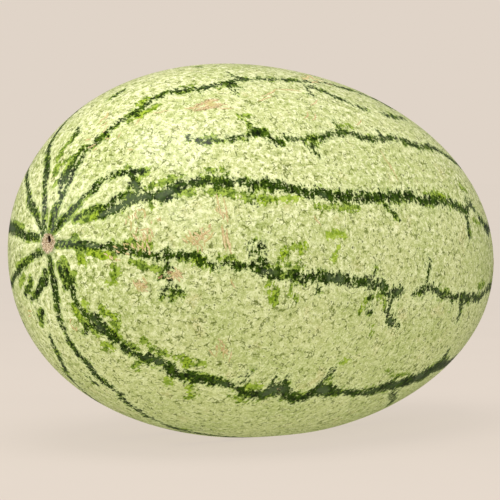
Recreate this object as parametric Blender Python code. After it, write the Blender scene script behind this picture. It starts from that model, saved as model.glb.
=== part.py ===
"""A whole oblong watermelon, lying on the small flat spot that it grew on, with its short dry stem stub.

The fruit is one solid of revolution whose axis bows a little, tilted so that its fuller blossom end is raised.
The stub stands in the shallow dimple at the stem end. Metres, +Z up, blossom end towards -X, origin on the ground.
"""

import math

import bmesh
import bpy
from mathutils import Matrix, Vector

# The fruit, about its own axis
HALF_LENGTH = 0.170  # middle to either pole
HALF_GIRTH = 0.1117  # radius at the middle
END_POWER = 2.17  # 2 is an ellipse; more gives blunter ends
BLOSSOM_SWELL = 0.061  # share by which the blossom end is fuller, and the stem end slimmer
BOW_UP = 0.0025  # how far the middle of the axis rises above the line between the poles
BOW_BACK = 0.0026  # and how far it swings towards +Y

# How it lies
TILT = math.radians(4.35)  # the blossom end's rise
SPOT_DEPTH = 0.002  # what the ground has flattened off the underside

# The corky scar that the blossom left, a shallow pit inside a low rim
SCAR_RADIUS = 0.0058
SCAR_DEPTH = 0.0009
SCAR_RIM = 0.0004
SCAR_RIM_SPREAD = 0.3  # width of the rim, as a share of the scar's radius

# The dimple at the stem end, and the flat seat of the stub in it
DIMPLE_RADIUS = 0.026
DIMPLE_DEPTH = 0.0035
SEAT_RADIUS = 0.0095

# The stem stub
STUB_LENGTH = 0.021
STUB_FOOT_RADIUS = 0.0080
STUB_RADIUS = 0.0050
STUB_CUT_RADIUS = 0.0056
STUB_RIDGES = 5
STUB_RIDGE_DEPTH = 0.09  # share of the radius
STUB_BEND = 0.0045  # how far the cut end leans up
STUB_GAP = 0.0003  # clearance between the stub's foot and its seat
STUB_EDGE = 0.0005  # the rounded edge round the cut
STUB_FLARE_END = 0.45  # share of the length over which the foot flares
STUB_SWELL_START = 0.55  # share of the length from which the cut end swells

# Facets
FRUIT_SIDES = 72
FRUIT_RINGS = 44
STUB_SIDES = 30
STUB_RINGS = 10
BLOSSOM_RING_RADII = (0.0, 0.0016, 0.0032, 0.0045, 0.0058, 0.0072, 0.0095)  # finer rings round the scar
STEM_RING_RADII = (0.0, 0.0045, SEAT_RADIUS, 0.0125, 0.0160, 0.0200, 0.0245)  # and in the dimple
RING_MARGIN = 0.003  # least step from these rings to the next one
MERGE_DISTANCE = 0.00001
CREASE_ANGLE = math.radians(40)

# Finishes
RIND_COLOUR = (0.60, 0.68, 0.33)
RIND_ROUGHNESS = 0.38
STEM_COLOUR = (0.36, 0.27, 0.15)
STEM_ROUGHNESS = 0.85


def clear_scene():
    for old in list(bpy.data.objects):
        bpy.data.objects.remove(old, do_unlink=True)


def smoothstep(share):
    share = min(1.0, max(0.0, share))
    return share * share * (3.0 - 2.0 * share)


def finish(name, base_colour, roughness):
    material = bpy.data.materials.new(name)
    material.use_nodes = True
    shader = material.node_tree.nodes["Principled BSDF"]
    shader.inputs["Base Color"].default_value = (*base_colour, 1.0)
    shader.inputs["Roughness"].default_value = roughness
    shader.inputs["Metallic"].default_value = 0.0
    return material


def body_radius(station):
    """The fruit's radius at a station along its axis, from -1 at the blossom pole to 1 at the stem pole."""
    ellipse = (1.0 - abs(station) ** END_POWER) ** (1.0 / END_POWER)
    return HALF_GIRTH * ellipse * (1.0 - BLOSSOM_SWELL * station)


def scar_relief(radius):
    """How far the blossom scar stands out from the rind, at a distance from the pole."""
    share = radius / SCAR_RADIUS
    pit = -SCAR_DEPTH * (1.0 - smoothstep(share))
    rim = SCAR_RIM * math.exp(-(((share - 1.0) / SCAR_RIM_SPREAD) ** 2))
    return pit + rim


def dimple_relief(radius):
    """How far the rind sinks round the stem, at a distance from the pole."""
    share = (radius - SEAT_RADIUS) / (DIMPLE_RADIUS - SEAT_RADIUS)
    return -DIMPLE_DEPTH * (1.0 - smoothstep(share))


def profile():
    """The outline from the blossom pole to the stem pole, as points in the plane of the axis."""
    turns = [math.pi * (i + 1) / (FRUIT_RINGS + 1) for i in range(FRUIT_RINGS)]
    stations = [-math.copysign(abs(math.cos(t)) ** (2.0 / END_POWER), math.cos(t)) for t in turns]
    body = [(s * HALF_LENGTH, body_radius(s)) for s in stations]
    first = [(-pole_height(r, -1), r) for r in BLOSSOM_RING_RADII]
    last = [(pole_height(r, 1), r) for r in reversed(STEM_RING_RADII)]
    blossom_limit = BLOSSOM_RING_RADII[-1] + RING_MARGIN
    stem_limit = STEM_RING_RADII[-1] + RING_MARGIN
    body = [(x, r) for x, r in body if r > blossom_limit and (x < 0 or r > stem_limit)]
    outline = [(x - scar_relief(r), r) for x, r in first] + body + last
    seat_height = pole_height(SEAT_RADIUS, 1) - DIMPLE_DEPTH
    return [
        (seat_height if r <= SEAT_RADIUS else x + dimple_relief(r), r) if x > 0 else (x, r)
        for x, r in outline
    ]


def pole_height(radius, end):
    """How far along the axis the rind lies, at a small distance from a pole. End is -1 or 1."""
    widest = HALF_GIRTH * (1.0 - BLOSSOM_SWELL * end)
    return HALF_LENGTH * (1.0 - (radius / widest) ** END_POWER) ** (1.0 / END_POWER)


def bow(x):
    """How far the axis is off the line between the poles, at a place along it."""
    share = max(0.0, 1.0 - (x / HALF_LENGTH) ** 2)
    return Vector((0.0, BOW_BACK * share, BOW_UP * share))


def build_fruit():
    shape = bmesh.new()
    points = [shape.verts.new((x, 0.0, r)) for x, r in profile()]
    edges = [shape.edges.new(pair) for pair in zip(points, points[1:])]
    bmesh.ops.spin(
        shape, geom=points + edges, cent=(0, 0, 0), axis=(1, 0, 0), angle=math.tau, steps=FRUIT_SIDES
    )
    bmesh.ops.remove_doubles(shape, verts=shape.verts, dist=MERGE_DISTANCE)
    for vertex in shape.verts:
        vertex.co += bow(vertex.co.x)
    bmesh.ops.rotate(shape, verts=shape.verts, cent=(0, 0, 0), matrix=Matrix.Rotation(TILT, 3, "Y"))
    ground = min(v.co.z for v in shape.verts) + SPOT_DEPTH
    cut = bmesh.ops.bisect_plane(
        shape,
        geom=shape.verts[:] + shape.edges[:] + shape.faces[:],
        plane_co=(0, 0, ground),
        plane_no=(0, 0, -1),
        clear_outer=True,
    )
    rim = [e for e in cut["geom_cut"] if isinstance(e, bmesh.types.BMEdge)]
    bmesh.ops.contextual_create(shape, geom=rim)
    bmesh.ops.recalc_face_normals(shape, faces=shape.faces)
    return object_from(shape, "fruit"), ground


def stub_section(share):
    """(place along the stub, lean, radius) at a share of its length from the foot to the cut."""
    flare = (STUB_FOOT_RADIUS - STUB_RADIUS) * (1.0 - smoothstep(share / STUB_FLARE_END))
    swell = (STUB_CUT_RADIUS - STUB_RADIUS) * smoothstep((share - STUB_SWELL_START) / (1.0 - STUB_SWELL_START))
    return share * STUB_LENGTH, STUB_BEND * share**2, STUB_RADIUS + flare + swell


def build_stub():
    """The peduncle's cut stub, with its ridges, standing on its seat in the fruit's own axes."""
    shape = bmesh.new()
    foot = pole_height(SEAT_RADIUS, 1) - DIMPLE_DEPTH + STUB_GAP
    rings = []
    for i in range(STUB_RINGS + 1):
        along, lean, radius = stub_section(i / STUB_RINGS)
        ring = []
        for k in range(STUB_SIDES):
            angle = math.tau * k / STUB_SIDES
            ridge = radius * (1.0 + STUB_RIDGE_DEPTH * math.cos(STUB_RIDGES * angle))
            ring.append(
                shape.verts.new((foot + along, ridge * math.cos(angle), lean + ridge * math.sin(angle)))
            )
        rings.append(ring)
    for low, high in zip(rings, rings[1:]):
        for k in range(STUB_SIDES):
            after = (k + 1) % STUB_SIDES
            shape.faces.new((low[k], low[after], high[after], high[k]))
    shape.faces.new(reversed(rings[0]))
    cut_face = shape.faces.new(rings[-1])
    bmesh.ops.bevel(
        shape, geom=cut_face.edges[:], offset=STUB_EDGE, segments=2, profile=0.5, affect="EDGES"
    )
    bmesh.ops.recalc_face_normals(shape, faces=shape.faces)
    bmesh.ops.rotate(shape, verts=shape.verts, cent=(0, 0, 0), matrix=Matrix.Rotation(TILT, 3, "Y"))
    return object_from(shape, "stem_stub")


def object_from(shape, name):
    mesh = bpy.data.meshes.new(name)
    shape.to_mesh(mesh)
    shape.free()
    mesh.shade_smooth()
    mesh.set_sharp_from_angle(angle=CREASE_ANGLE)
    made = bpy.data.objects.new(name, mesh)
    bpy.context.scene.collection.objects.link(made)
    return made


def stand_on_origin(pieces, ground):
    """Moves the pieces together so that the middle of their box, at ground height, is the origin."""
    corners = [v.co for piece in pieces for v in piece.data.vertices]
    middle = [(min(c[k] for c in corners) + max(c[k] for c in corners)) / 2 for k in (0, 1)]
    for piece in pieces:
        piece.location = (-middle[0], -middle[1], -ground)


def main():
    clear_scene()
    fruit, ground = build_fruit()
    stub = build_stub()
    fruit.data.materials.append(finish("rind", RIND_COLOUR, RIND_ROUGHNESS))
    stub.data.materials.append(finish("dry_stem", STEM_COLOUR, STEM_ROUGHNESS))
    stand_on_origin([fruit, stub], ground)


main()
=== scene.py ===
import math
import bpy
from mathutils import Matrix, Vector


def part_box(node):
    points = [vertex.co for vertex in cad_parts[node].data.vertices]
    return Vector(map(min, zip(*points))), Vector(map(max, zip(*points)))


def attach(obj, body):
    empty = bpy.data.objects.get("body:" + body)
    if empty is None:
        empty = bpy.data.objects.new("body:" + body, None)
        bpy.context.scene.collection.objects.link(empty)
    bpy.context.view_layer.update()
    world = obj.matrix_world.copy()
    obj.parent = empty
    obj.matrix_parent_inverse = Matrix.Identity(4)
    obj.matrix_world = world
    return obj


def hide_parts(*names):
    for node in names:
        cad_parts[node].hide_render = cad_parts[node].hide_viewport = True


bl_info = {
    "name": "Striped Watermelon",
    "version": (1, 0, 0),
    "blender": (4, 5, 0),
    "location": "View3D > Sidebar > Watermelon",
    "description": "Grows a striped watermelon: rind, corky scratches, dry stem stub and a plain studio",
    "category": "Object",
}

import bpy
import numpy as np
from mathutils import Vector

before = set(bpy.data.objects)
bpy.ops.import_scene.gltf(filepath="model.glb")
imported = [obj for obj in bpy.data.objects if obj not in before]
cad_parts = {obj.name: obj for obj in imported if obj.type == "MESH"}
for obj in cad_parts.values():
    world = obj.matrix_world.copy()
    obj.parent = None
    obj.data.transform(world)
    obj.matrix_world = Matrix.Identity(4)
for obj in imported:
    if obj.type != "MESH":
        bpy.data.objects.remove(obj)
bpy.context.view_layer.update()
FRUIT_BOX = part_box("fruit")

# ---------------------------------------------------------------- the fruit's growth shape, metres
HALF_LENGTH = 0.170
HALF_GIRTH = 0.1117
END_POWER = 2.17
BLOSSOM_SWELL = 0.061
BOW_UP = 0.0025
BOW_BACK = 0.0026
TILT = math.radians(4.35)
SCAR_RADIUS = 0.0058
SCAR_DEPTH = 0.0009
SCAR_RIM = 0.0004
SCAR_RIM_WIDTH = 0.3
PIT_UP = 0.0022
PIT_SIDE = 0.0004
DIMPLE_RADIUS = 0.026
DIMPLE_DEPTH = 0.0035
SEAT_RADIUS = 0.0095
STUB_LENGTH = 0.021
STUB_FOOT_RADIUS = 0.0080
STUB_RADIUS = 0.0050
STUB_CUT_RADIUS = 0.0056
STUB_BEND = 0.0045
STUB_RIDGES = 5
STUB_RIDGE_DEPTH = 0.085
# Shares of the stub's mesh rings that make its foot and its cut face; the rest make the side.
FOOT_ROWS = 0.08
CUT_ROWS = 0.18
# Seeds of the random marks.
RIND_SEED = 7
SCRATCH_SEED = 21

# ---------------------------------------------------------------- stripe routes
# Each point is (degrees from the blossom end, degrees round from the top, half width in mm).
# Round angles grow from the top over the near flank; the last points of a route run to the stem.
STRIPES = [
    # crown, far side of the top
    [(3, -46, .7), (6, -43, 1.0), (10, -42, 1.1), (12.5, -46, 1.7), (15, -49, 2.0), (17, -47, 1.3),
     (20, -47.5, 1.0), (25, -49, 1.0), (30, -51, 1.2), (38, -50, 1.8), (48, -47, 1.9), (60, -46, 2.4),
     (75, -44, 2.2), (90, -45, 2.6), (105, -42, 2.2), (120, -44, 2.4), (135, -47, 2.0),
     (150, -45, 1.8), (165, -44, 1.4), (172, -45, 1.0)],
    [(3, -30, .6), (6, -24, .8), (8, -21.5, 1.0), (12, -20, 1.0), (16, -20.5, 1.6), (20, -21.5, 2.0),
     (24, -23.5, 1.6), (28, -26.5, 1.5), (32, -28, 1.4), (36, -26.5, 1.4), (41, -25.5, 1.0),
     (50, -22, 1.4), (62, -17, 1.8), (75, -15, 1.6), (88, -16, 2.2), (100, -13, 1.9),
     (115, -12, 2.0), (130, -14, 1.8), (150, -13, 1.5), (166, -14, 1.2), (172, -14, .9)],
    [(28, -4.5, .9), (30, -4, 1.0), (32, -6, .5)],
    [(43, -2, .7), (46, -2, .8), (48, -1, .6)],
    [(67, 6, .9), (68.5, 4.5, .8)],
    # top stripe, forked at both ends
    [(3.5, 9, .9), (6, 9, 1.2), (8.4, 8, 1.3)],
    [(9, 13, .8), (11, 13.5, .9), (14, 14, .9), (20, 13, 1.1), (25, 13, 1.2), (28, 14.5, 1.5),
     (31, 15.5, 1.5), (34, 16.5, .8), (37, 18, .8), (40, 19, .8), (43, 18.5, 1.1), (46, 17.5, 1.2),
     (50, 18, 1.3), (53, 20, 1.5), (55, 22, 2.3), (58, 24, 1.8), (62, 24, 1.4), (66, 23.5, 1.5),
     (70, 24, 1.2), (75, 25, 1.0), (80, 25.5, 1.1), (83, 26, 1.2), (86, 25, .6)],
    [(15, 1, .6), (14.7, 6, 1.4), (15.5, 8, 1.9), (18, 7, 1.9), (20, 8, 1.4), (23, 8, .8), (25, 9, .7)],
    [(16.5, 2, .5), (16.5, 6, 1.0)],
    [(12.5, 6.5, .7), (14.5, 6.5, 1.0)],
    [(63.5, 25, 1.0), (64, 29, .9), (63.2, 31, .5)],
    [(64.3, 25, .8), (65.3, 30, .5)],
    [(67.8, 17.5, .4), (68, 22, .9)],
    [(83, 26, 1.0), (85, 30, .9), (88, 34, 1.0), (91, 37, 1.2), (94, 38.5, 1.0)],
    [(98, 38.5, .9), (102, 37, 1.2), (105, 36, 1.0), (108, 34.5, .6)],
    [(81, 34, .5), (83, 29, .8), (86, 31, .8)],
    [(88, 24, .8), (92, 24, 1.0), (98, 24.5, 1.2), (105, 25, 1.6), (112, 27, 1.7), (120, 26, 1.8),
     (135, 24, 1.8), (150, 25, 1.6), (165, 24, 1.2), (172, 24, .9)],
    # upper fork of the shoulder stripe
    [(3, 25, .9), (5, 34, 1.1), (6, 36, 1.0), (8, 38, 1.0), (10, 39.5, .8), (12, 40, .8), (15, 40, .5),
     (18, 40, .8), (20, 39, 1.0), (23, 41, .9), (26, 43.5, .9), (28, 46, .9), (29.5, 48.5, 1.0),
     (31, 50, .8)],
    [(28, 46, .8), (28.5, 50, 1.4), (28, 54, 2.0), (28.5, 58, 1.8)],
    [(17.5, 42.5, .5), (19, 42.5, .5)],
    # shoulder stripe
    [(10, 55, .4), (14, 55, .6), (17, 57.5, .8), (19.5, 60, .7)],
    [(19.5, 60, .6), (22, 57.5, .8), (24, 58.5, 1.6), (26, 60, 2.0)],
    [(16, 64, .7), (18, 64.5, 1.8), (20, 65, 1.4), (23, 64.5, 1.1), (26, 61.5, 2.2), (29, 63.5, 2.0),
     (32, 65, 2.4), (34.5, 66, 3.0), (36.5, 64.5, 2.8), (39, 62.5, 2.2), (42, 63.5, 2.0),
     (45, 64.5, 2.0), (48, 65.5, 2.2), (50, 65.5, 1.6), (53, 67, 1.4), (56, 68, 2.1), (60, 69, 2.3),
     (64, 70, 2.3), (68, 71.5, 2.4), (72, 72.5, 2.6), (76, 72.5, 2.7), (80, 73, 2.2), (85, 72, 2.1),
     (89, 72, 2.8), (92, 71, 2.2), (94, 70.5, 2.4), (97, 72, 2.3), (100, 71, 2.1), (105, 70.5, 1.8),
     (109, 70.5, 2.0), (112, 71, 2.4), (115, 71.5, 2.2), (117, 69, 2.0), (119, 67.5, 1.8),
     (121.5, 69.5, 1.3), (124, 71, 1.3), (127, 73, 2.4), (130, 74, 3.0), (133, 72, 2.2),
     (137, 70, 2.0), (142, 69, 2.4), (150, 68, 2.2), (160, 69, 2.0), (167, 68, 1.5), (172, 68, 1.0)],
    [(88, 75, 1.2), (89.5, 78, .7)],
    [(114.5, 73, 1.2), (115, 79.5, 1.2)],
    [(116, 67, 1.2), (117.5, 64, 1.2), (119, 64.5, 1.0), (120.5, 68, .9)],
    [(55, 71, 1.2), (55.5, 75, .8)],
    # short stripe that begins on the shoulder
    [(45, 44, .5), (47, 47, .8), (48, 49, .9), (50, 48.5, 1.1), (53, 49.5, .8), (56, 50, .7),
     (59, 50.5, .9), (61, 48.5, 2.4), (62.5, 50, 2.6), (64, 53, 1.4), (65, 54.5, 1.0), (67, 53, .6),
     (69, 53.5, .8), (72, 54, 1.0), (75, 53.5, 1.0), (78, 52, 1.2), (81, 51, 1.3), (84, 50.5, 1.8),
     (86, 52, 1.2), (89, 52.5, 1.3), (92, 51.5, 1.6), (95, 50, 1.6), (98, 49.5, 1.7), (101, 50, 1.8),
     (104, 50.5, 1.3), (107, 49, 1.3), (110, 47.5, 1.6), (113, 47, 1.4), (116, 47.5, 1.2),
     (120, 47, 1.1), (124, 46.5, 1.6), (127, 45, 1.6), (135, 45, 1.8), (150, 46, 1.7),
     (165, 46, 1.3), (172, 46, .8)],
    [(82, 46, .5), (81.5, 50, 1.0)],
    [(72, 55, .6), (72.3, 58, .6), (73, 60, .4)],
    [(61, 45.5, .8), (61, 48, 1.2)],
    [(92, 48.5, .8), (92, 51, 1.2)],
    # middle stripe
    [(3, 91, .8), (6, 91, .8), (8.5, 90, 1.2), (10.5, 92, 1.8), (13, 90.5, 1.5), (16, 91.5, 1.0),
     (18, 90.5, 1.3), (20, 91, 2.0), (22, 92.5, 2.5), (24, 91, 1.5), (25, 93, 1.2), (27, 93.5, 1.2),
     (29, 94.5, 1.2), (31, 95, 1.0), (33, 94, 1.5), (34, 92.5, 2.0), (35.5, 94, .8), (38, 92.5, .7),
     (41, 93, .9), (43, 95, 1.0), (46, 96, .6), (48, 95, .7), (50, 95.5, 1.0), (53, 95.5, 1.1),
     (55, 95, 2.2), (57, 96, 2.7), (59, 96.5, 2.2), (62, 96.5, 2.0), (65, 97, 1.9), (70, 97, 2.2),
     (75, 97, 2.3), (80, 97.5, 2.3), (84, 98, 1.8), (86, 98, 1.5), (88, 100, 2.0), (90, 100, 2.6),
     (91.5, 99, .9)],
    [(94.5, 100.5, .6), (96, 100, 1.0), (98, 98.5, 2.0), (100, 98.5, 1.5), (103, 100.5, 1.8),
     (107, 101, 1.5), (110, 101, 1.5), (113, 101.5, 2.2), (115, 102, 2.4), (118, 102, 2.2),
     (122, 102, 1.9), (126, 102, 1.9), (130, 99.5, 1.5), (133, 98.5, 1.7), (136, 99, 1.8),
     (145, 100, 2.2), (155, 101, 2.0), (165, 100, 1.6), (172, 100, .9)],
    [(54.5, 88, 1.2), (54.8, 94, 1.5)],
    [(56.3, 88, .9), (56.5, 94, 1.5)],
    [(84, 93, .7), (83.5, 98, 1.1)],
    [(84, 100, .8), (84.5, 105.5, .8)],
    [(89.5, 103, 2.0), (90, 107, 2.2), (91, 109.5, 1.8), (92.5, 110.5, .8)],
    [(98, 90, .6), (98, 97, 1.2)],
    [(113.5, 104, 1.8), (114, 107, 1.5), (114, 110, .7)],
    [(108.3, 101, .8), (108.5, 104.5, .8)],
    [(70.3, 98, .8), (70.6, 101, .7)],
    [(35, 109, .8), (37, 107.5, 1.2), (39, 108.5, .8)],
    [(34.5, 112, .5), (37, 111.5, .6)],
    [(33, 104, .5), (35, 103.5, .6), (34.5, 98, .7)],
    # lower stripe
    [(8, 136, .9), (11, 138, 1.2), (12.5, 141, 1.4), (14, 146, 1.1), (15, 148.5, .9), (18, 149, .8),
     (20, 148.5, .8), (21.5, 147, 1.2), (23, 144.5, 2.9), (25, 145.5, 3.3), (28, 145, 2.4),
     (31, 145, 1.9), (34, 145, 2.1), (37, 144.5, 2.1), (40, 142, 2.8), (42, 140.5, 3.0),
     (45, 141, 2.6), (48, 142, 2.8), (51, 140.5, 2.8), (54, 139, 3.0), (57, 138.5, 2.6),
     (60, 138, 2.6), (63, 138.5, 2.0), (66, 140, 2.4), (69, 139, 3.2), (71, 135.5, 4.8),
     (73, 135, 4.6), (75, 137.5, 3.4), (78, 138.5, 3.0), (80, 137, 3.0), (82, 133.5, 5.0),
     (84.5, 134.5, 4.6), (87, 135, 2.3), (90, 135, 2.1), (93, 136, 2.3), (96, 135.5, 3.4),
     (99, 133.5, 4.2), (102, 134.5, 4.4), (105, 133, 4.6), (108, 133.5, 5.0), (112, 132, 5.4),
     (116, 130, 5.4), (120, 131, 4.8), (126, 134, 3.8), (135, 133, 2.8), (150, 134, 2.4),
     (165, 133, 1.7), (172, 133, 1.0)],
    [(7, 145, .8), (9, 149.5, .8)],
    [(10, 147, .9), (12, 151, .8)],
    [(62.8, 131, .6), (63, 136, 1.0)],
    [(69, 131, .9), (70, 134, 1.6)],
    [(72, 130.5, 1.2), (72, 134, 2.0)],
    [(81.7, 124, .8), (82, 129, 1.6)],
    [(104, 138, 1.5), (108, 144, 1.3), (111, 150, 1.0)],
    [(116, 124, 1.6), (118, 127, 2.5)],
    [(23.5, 151, .7), (23.2, 154, .6), (24.5, 158, .5)],
    # underside stripes
    [(3.5, 170, .9), (5, 170, 1.2), (8, 171, 1.3), (11, 171, 1.5), (14, 173.5, 1.6), (17, 175, 1.8),
     (20, 176.5, 1.1), (24, 176, .8), (28, 175, 1.1), (31, 174, 1.4), (34, 171.5, 2.0),
     (37, 172.5, 1.8), (40, 173, 1.5), (43, 170, 1.6), (46, 170.5, 1.6), (50, 173, 1.3),
     (55, 173.5, 1.1), (60, 174, 1.0), (66, 175, 1.2), (75, 173, 2.0), (90, 172, 2.2),
     (105, 173, 2.2), (120, 171, 2.0), (135, 172, 2.0), (150, 171, 1.7), (165, 172, 1.3),
     (172, 172, .9)],
    [(8.5, 165, .6), (10, 167, .8)],
    [(37, 178.5, .5), (41, 178, .6)],
    [(6.5, 190, .8), (8, 187, 1.2), (9.5, 190, 1.8), (9.5, 196, 1.8), (11.5, 200, 1.4),
     (13, 203, 1.4), (15, 207, 1.1), (17, 213, .7)],
    [(18, 196, .7), (21, 198, .7), (20.5, 202, .9)],
    [(25, 193, .5), (30, 191.5, .8), (35, 193, .9), (40, 195, 1.0), (45, 195, 1.1), (50, 195, 1.2),
     (60, 197, 1.8), (75, 199, 2.2), (90, 198, 2.3), (105, 200, 2.2), (120, 199, 2.0),
     (140, 200, 1.8), (160, 199, 1.5), (172, 199, .9)],
    [(11.5, 219, .9), (14, 218, 1.1), (16, 221, 1.3), (18, 222.5, .6)],
    [(33, 226, .8), (45, 224, 1.5), (60, 223, 2.0), (75, 222, 2.2), (90, 224, 2.4), (110, 223, 2.0),
     (130, 224, 1.9), (155, 223, 1.6), (172, 224, .9)],
    # far flank
    [(3.3, 228, .9), (4.5, 235, 1.0), (6, 241, .9), (8, 243, .8), (11, 242, 1.1), (15, 243, 1.4),
     (20, 243.5, 1.5), (25, 244, 1.5), (30, 245.5, 1.3), (40, 247, 1.8), (55, 248, 2.2),
     (75, 250, 2.6), (95, 249, 2.4), (115, 251, 2.3), (135, 250, 2.0), (160, 250, 1.6),
     (172, 250, .9)],
    [(4, 288, .7), (5.5, 284, 1.0), (8, 279, 1.6), (12, 279, 1.4), (16, 280, 2.4), (22, 279, 2.8),
     (28, 279, 3.0), (40, 278, 2.6), (55, 276, 2.2), (75, 277, 2.6), (90, 275, 2.4), (110, 276, 2.4),
     (130, 275, 2.1), (155, 276, 1.7), (172, 276, .9)],
]

# Where the far stretch of each long route begins, in degrees from the blossom, in route order.
FAR_FROM = [34, 44, 100, 140, 128, 137, 128, 66, 55, 36, 34, 32]
LAST_STOP = 172
LAST_SPUR = 166.0
LAST_PATCH = 168.0
LONG_ROUTES = [route for route in STRIPES if route[-1][0] == LAST_STOP]

# Mid-green marks, half shaded leaf green: near the roots and beside the stripes.
MOSS = [
    [(2.5, 8, 1.2), (5, 9, 1.8), (8.4, 8, 1.8)],
    [(4.5, 92, 1.0), (7, 90, 1.6), (9, 84, 1.3), (8.5, 79, .9)],
    [(9, 90, 2.2), (10.2, 96, 2.0), (10.5, 103, 1.6), (11.5, 108, 1.0)],
    [(6, 124, .6), (7.5, 131, 1.5), (9, 136, 2.0), (11, 138, 1.8)],
    [(11, 128, .5), (10.8, 134, 1.0)],
    [(6, 142, 1.2), (8, 146, 1.2), (11, 148, 1.2)],
    [(9.5, 55, .9), (13, 55, 1.1), (16, 58, 1.4), (18, 61, 1.8)],
    [(11.5, 61, .6), (14, 62, .8), (16, 64, 1.2)],
    [(6, 36, 1.2), (8, 42, 1.0), (9.5, 45, .8)],
    [(17.5, -8, 1.1), (19, -9.5, 1.0), (20, -7, .7)],
    [(14, -5, .6), (15, -3, .6)],
    [(22, -10.5, .8), (25, -9, .9), (27, -7, .9), (28.5, -4.5, .9)],
    [(17, 4, 1.0), (21, 6, 1.2), (25, 9, 1.0)],
    [(20.5, -2, .5), (21.5, 2, .5)],
    [(28.5, 54, 1.6), (32, 51, .7)],
    [(31, 60, .9), (35, 60, .6), (40, 59.5, .6)],
    [(46, 60, .5), (49, 61, .6)],
    [(31, 70, .9), (30.5, 68, .9)],
    [(38, 66.5, 1.0), (41, 67, 1.0)],
    [(45, 68, 1.0), (50, 70, 1.4), (53, 71, 1.2)],
    [(53, 72, 1.2), (57, 73, 1.4), (60, 74, 1.0)],
    [(70, 76, .7), (76, 76, .9), (80, 76, .7)],
    [(99, 69, .7), (104, 68.5, .8), (108, 68, .7)],
    [(82, 48, .9), (85, 48, 1.0)],
    [(45, 46, .5), (48, 47, .9), (51, 47, .8)],
    [(59.5, 42, .7), (61, 42.5, .6)],
    [(37, 20, .7), (40, 21.5, 1.1), (45, 22, .8)],
    [(42, 15.5, .5), (46, 15, .7)],
    [(55, 19, .5), (57, 20.5, .6)],
    [(61, 26, .6), (65, 26, .6)],
    [(24, 88, 1.0), (27, 89, 1.2), (29, 89.5, 1.0)],
    [(13, 97, 1.4), (17, 98, 1.5), (20, 97, 1.0)],
    [(25, 99, 1.0), (29, 100, 1.2), (33, 101, .8)],
    [(20.5, 104, .6), (22, 105, .6), (21.5, 110, .8)],
    [(39.5, 94.5, 1.0), (42, 95, 1.2), (45, 96.5, .8)],
    [(46.5, 93.5, .8), (49, 93, .8)],
    [(60, 94, .9), (66, 95, .7)],
    [(59, 100, .9), (61, 102, .8), (61, 106, 1.0)],
    [(63.5, 102, .9), (65.5, 104, .9)],
    [(60.5, 91.5, .8), (62.5, 89, .9), (66, 88, 1.0)],
    [(83, 103, .7), (82.5, 106.5, .7)],
    [(86.5, 110, .6), (87, 113, .6)],
    [(86, 101, .8), (88, 104, .9)],
    [(96, 126.5, .9), (98, 129, 1.1)],
    [(100, 130, 1.4), (104, 129, 1.2)],
    [(22.5, 135, .8), (23.5, 137, 1.0), (26, 134, .9)],
    [(27, 137.5, 1.2), (29, 138, .8)],
    [(29, 143, 1.0), (34, 142, .8), (37, 141, .7)],
    [(36, 135.5, .5), (39, 137.5, .9)],
    [(41, 136.5, .9), (44, 136, .8)],
    [(46.5, 134, 1.2), (48, 136, 1.6), (52, 133, 1.0)],
    [(17, 153.5, .9), (20, 154, 1.0), (23, 155, .8)],
    [(28, 151, .7), (31, 154, .6)],
    [(22, 152, .8), (26, 152, .9)],
    [(39, 147, .8), (39.5, 150, .9)],
    [(53.5, 144, .8), (55.5, 147, .9), (55, 150, .5)],
    [(63, 143, .6), (68, 143.5, .8)],
    [(13.5, 204, 1.0), (15, 210, 1.2)],
    [(18, 198, 1.2), (21, 200, 1.2), (23, 200, .6)],
    [(16, 222, 1.4), (15, 217, 1.0)],
    [(14, 233, .8), (16, 232, .9), (18, 233.5, .6)],
    [(12.5, 287, .8), (16, 284.5, 1.0), (21, 284, 1.0)],
    [(8, 241, 1.0), (12, 246, 1.1), (17, 248, 1.0)],
    [(116, 61.5, .8), (119, 62, 1.0)],
    [(119, 73, .9), (123, 74, 1.0)],
    [(122, 98, .9), (126, 97, .7)],
]

# Bright yellow-green patches where the rind is thin.
LIME = [
    [(11, 107, 1.0), (13, 110, 1.1)],
    [(13, 97.5, .8), (16, 98.5, 1.1), (19, 98.5, .8)],
    [(17, 60, .6), (15.5, 63, .9)],
    [(21, 116.5, .7), (22, 114, .8)],
    [(18, 143, 1.0), (20, 144, .7)],
    [(17, 154, .7), (20, 154, .7)],
    [(65, 137, 2.2), (67, 136, 2.0)],
    [(60.5, 74, .9), (64, 73.5, 1.6), (66, 73.5, .8)],
    [(56, 73.5, 1.0), (57.5, 75, .8)],
    [(72, 84.5, 1.0), (74, 84, 1.2), (76, 84.5, .7)],
    [(73.5, 91, .8), (74.5, 87.5, .7)],
    [(60.5, 91, .8), (61.5, 89.5, .7)],
    [(65.5, 90, .8), (66, 88, .9)],
    [(58.5, 101, .7), (60.5, 105.5, .9)],
    [(82, 123.5, .9), (84, 122.5, .9)],
    [(47.5, 134.5, 1.2), (48.5, 137, 1.3)],
    [(47.5, 146, 1.2), (49, 148, 1.3)],
    [(53, 145, .8), (54.5, 147.5, .8)],
    [(24, 134.5, .7), (27, 133.5, .7)],
    [(30, 150, .7), (32, 149.5, .6)],
    [(41, 94, .7), (43, 94.5, .8)],
    [(43, 16, .5), (46, 16, .6)],
    [(40, 22, .8), (44, 23, .8)],
    [(103, 69, .6), (106, 68, .7)],
    [(29, 141.5, .7), (31, 142, .6)],
    [(82.5, 104.5, .6), (82.5, 106, .6)],
]

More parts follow.
